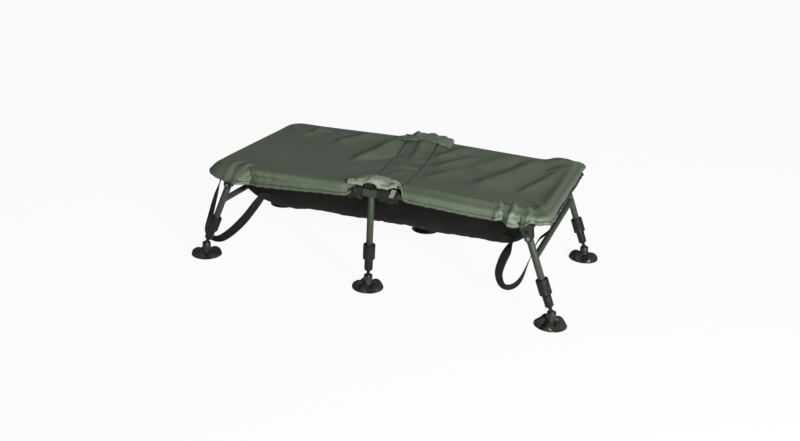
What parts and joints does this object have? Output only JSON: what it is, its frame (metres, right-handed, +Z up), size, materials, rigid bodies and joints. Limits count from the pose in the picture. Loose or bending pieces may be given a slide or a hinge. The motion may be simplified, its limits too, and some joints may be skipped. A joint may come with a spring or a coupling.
{
  "type": "folding unhooking cradle",
  "caption": "Raised folding fish-unhooking mat: padded cloth trough with an elasticated cover on a hinged tube frame with telescopic legs, crossbars, mud feet and carry loops.",
  "frame": {"origin": "on the ground, at the middle of the cradle's outline", "axes": "+X to the right end of the long side, -Y to the front long side, +Z up"},
  "size_m": [1.194, 0.618, 0.3429],
  "materials": {
    "tube_paint": "satin dark olive paint",
    "black_plastic": "matte near-black plastic",
    "nylon": "plain moulded nylon",
    "steel": "dull steel",
    "cover_cloth": "olive coated cloth",
    "trough_cloth": "near-black coated cloth",
    "foam": "foam in a cloth sleeve",
    "webbing": "black woven webbing"
  },
  "bodies": {
    "left_half": {"rail_left": "tube_paint", "hinge_saddle_front": "tube_paint", "hinge_saddle_back": "tube_paint", "hinge_leaf_left_front": "black_plastic", "hinge_leaf_left_back": "black_plastic", "hinge_pin_front": "steel", "hinge_pin_back": "steel", "leg_bracket_front_left": "tube_paint", "leg_bracket_back_left": "tube_paint", "leg_rivet_front_left": "steel", "leg_rivet_back_left": "steel", "upper_leg_front_centre": "tube_paint", "upper_leg_back_centre": "tube_paint", "clamp_bush_front_centre": "nylon", "clamp_bush_back_centre": "nylon", "cover_left": "cover_cloth", "cover_strip": "cover_cloth", "trough_left": "trough_cloth", "foam_pad_left": "foam", "carry_strap_left": "webbing"},
    "right_half": {"rail_right": "tube_paint", "hinge_leaf_right_front": "black_plastic", "hinge_leaf_right_back": "black_plastic", "leg_bracket_front_right": "tube_paint", "leg_bracket_back_right": "tube_paint", "leg_rivet_front_right": "steel", "leg_rivet_back_right": "steel", "cover_right": "cover_cloth", "trough_right": "trough_cloth", "foam_pad_right": "foam", "carry_strap_right": "webbing"},
    "left_leg_frame": {"upper_leg_front_left": "tube_paint", "upper_leg_back_left": "tube_paint", "clamp_bush_front_left": "nylon", "clamp_bush_back_left": "nylon", "leg_crossbar_left": "tube_paint"},
    "right_leg_frame": {"upper_leg_front_right": "tube_paint", "upper_leg_back_right": "tube_paint", "clamp_bush_front_right": "nylon", "clamp_bush_back_right": "nylon", "leg_crossbar_right": "tube_paint"},
    "collar_front_left": {"twist_collar_front_left": "black_plastic"},
    "lower_leg_front_left": {"lower_leg_front_left": "black_plastic"},
    "foot_front_left": {"mud_foot_front_left": "black_plastic"},
    "collar_front_centre": {"twist_collar_front_centre": "black_plastic"},
    "lower_leg_front_centre": {"lower_leg_front_centre": "black_plastic"},
    "foot_front_centre": {"mud_foot_front_centre": "black_plastic"},
    "collar_front_right": {"twist_collar_front_right": "black_plastic"},
    "lower_leg_front_right": {"lower_leg_front_right": "black_plastic"},
    "foot_front_right": {"mud_foot_front_right": "black_plastic"},
    "collar_back_left": {"twist_collar_back_left": "black_plastic"},
    "lower_leg_back_left": {"lower_leg_back_left": "black_plastic"},
    "foot_back_left": {"mud_foot_back_left": "black_plastic"},
    "collar_back_centre": {"twist_collar_back_centre": "black_plastic"},
    "lower_leg_back_centre": {"lower_leg_back_centre": "black_plastic"},
    "foot_back_centre": {"mud_foot_back_centre": "black_plastic"},
    "collar_back_right": {"twist_collar_back_right": "black_plastic"},
    "lower_leg_back_right": {"lower_leg_back_right": "black_plastic"},
    "foot_back_right": {"mud_foot_back_right": "black_plastic"}
  },
  "joints": [
    {"name": "frame_fold", "type": "hinge", "parent": "left_half", "child": "right_half", "pos_m": [0, 0, 0.322], "axis": [0, -1, 0], "range_deg": [0, 180], "deforming": ["cover_strip"]},
    {"name": "left_leg_fold", "type": "hinge", "parent": "left_half", "child": "left_leg_frame", "pos_m": [-0.4652, 0, 0.247], "axis": [0, -1, 0], "range_deg": [0, 100], "deforming": ["trough_left", "carry_strap_left"]},
    {"name": "right_leg_fold", "type": "hinge", "parent": "right_half", "child": "right_leg_frame", "pos_m": [0.4652, 0, 0.247], "axis": [0, 1, 0], "range_deg": [0, 100], "deforming": ["trough_right", "carry_strap_right"]},
    {"name": "leg_slide_front_left", "type": "slide", "parent": "left_leg_frame", "child": "lower_leg_front_left", "axis": [0.3744, 0, 0.9273], "range_m": [-0.1, 0]},
    {"name": "collar_twist_front_left", "type": "hinge", "parent": "left_leg_frame", "child": "collar_front_left", "pos_m": [-0.55, -0.262, 0.037], "axis": [0.3744, 0, 0.9273], "range_deg": [0, 90]},
    {"name": "foot_tilt_front_left", "type": "hinge", "parent": "lower_leg_front_left", "child": "foot_front_left", "pos_m": [-0.55, -0.262, 0.037], "axis": [0, -1, 0], "range_deg": [-52, 8]},
    {"name": "leg_slide_front_centre", "type": "slide", "parent": "left_half", "child": "lower_leg_front_centre", "axis": [0, 0, 1], "range_m": [-0.1, 0]},
    {"name": "collar_twist_front_centre", "type": "hinge", "parent": "left_half", "child": "collar_front_centre", "pos_m": [0, -0.262, 0.037], "axis": [0, 0, 1], "range_deg": [0, 90]},
    {"name": "foot_tilt_front_centre", "type": "hinge", "parent": "lower_leg_front_centre", "child": "foot_front_centre", "pos_m": [0, -0.262, 0.037], "axis": [0, 1, 0], "range_deg": [-30, 30]},
    {"name": "leg_slide_front_right", "type": "slide", "parent": "right_leg_frame", "child": "lower_leg_front_right", "axis": [-0.3744, 0, 0.9273], "range_m": [-0.1, 0]},
    {"name": "collar_twist_front_right", "type": "hinge", "parent": "right_leg_frame", "child": "collar_front_right", "pos_m": [0.55, -0.262, 0.037], "axis": [-0.3744, 0, 0.9273], "range_deg": [0, 90]},
    {"name": "foot_tilt_front_right", "type": "hinge", "parent": "lower_leg_front_right", "child": "foot_front_right", "pos_m": [0.55, -0.262, 0.037], "axis": [0, 1, 0], "range_deg": [-52, 8]},
    {"name": "leg_slide_back_left", "type": "slide", "parent": "left_leg_frame", "child": "lower_leg_back_left", "axis": [0.3744, 0, 0.9273], "range_m": [-0.1, 0]},
    {"name": "collar_twist_back_left", "type": "hinge", "parent": "left_leg_frame", "child": "collar_back_left", "pos_m": [-0.55, 0.262, 0.037], "axis": [0.3744, 0, 0.9273], "range_deg": [0, 90]},
    {"name": "foot_tilt_back_left", "type": "hinge", "parent": "lower_leg_back_left", "child": "foot_back_left", "pos_m": [-0.55, 0.262, 0.037], "axis": [0, -1, 0], "range_deg": [-52, 8]},
    {"name": "leg_slide_back_centre", "type": "slide", "parent": "left_half", "child": "lower_leg_back_centre", "axis": [0, 0, 1], "range_m": [-0.1, 0]},
    {"name": "collar_twist_back_centre", "type": "hinge", "parent": "left_half", "child": "collar_back_centre", "pos_m": [0, 0.262, 0.037], "axis": [0, 0, 1], "range_deg": [0, 90]},
    {"name": "foot_tilt_back_centre", "type": "hinge", "parent": "lower_leg_back_centre", "child": "foot_back_centre", "pos_m": [0, 0.262, 0.037], "axis": [0, 1, 0], "range_deg": [-30, 30]},
    {"name": "leg_slide_back_right", "type": "slide", "parent": "right_leg_frame", "child": "lower_leg_back_right", "axis": [-0.3744, 0, 0.9273], "range_m": [-0.1, 0]},
    {"name": "collar_twist_back_right", "type": "hinge", "parent": "right_leg_frame", "child": "collar_back_right", "pos_m": [0.55, 0.262, 0.037], "axis": [-0.3744, 0, 0.9273], "range_deg": [0, 90]},
    {"name": "foot_tilt_back_right", "type": "hinge", "parent": "lower_leg_back_right", "child": "foot_back_right", "pos_m": [0.55, 0.262, 0.037], "axis": [0, 1, 0], "range_deg": [-52, 8]}
  ]
}
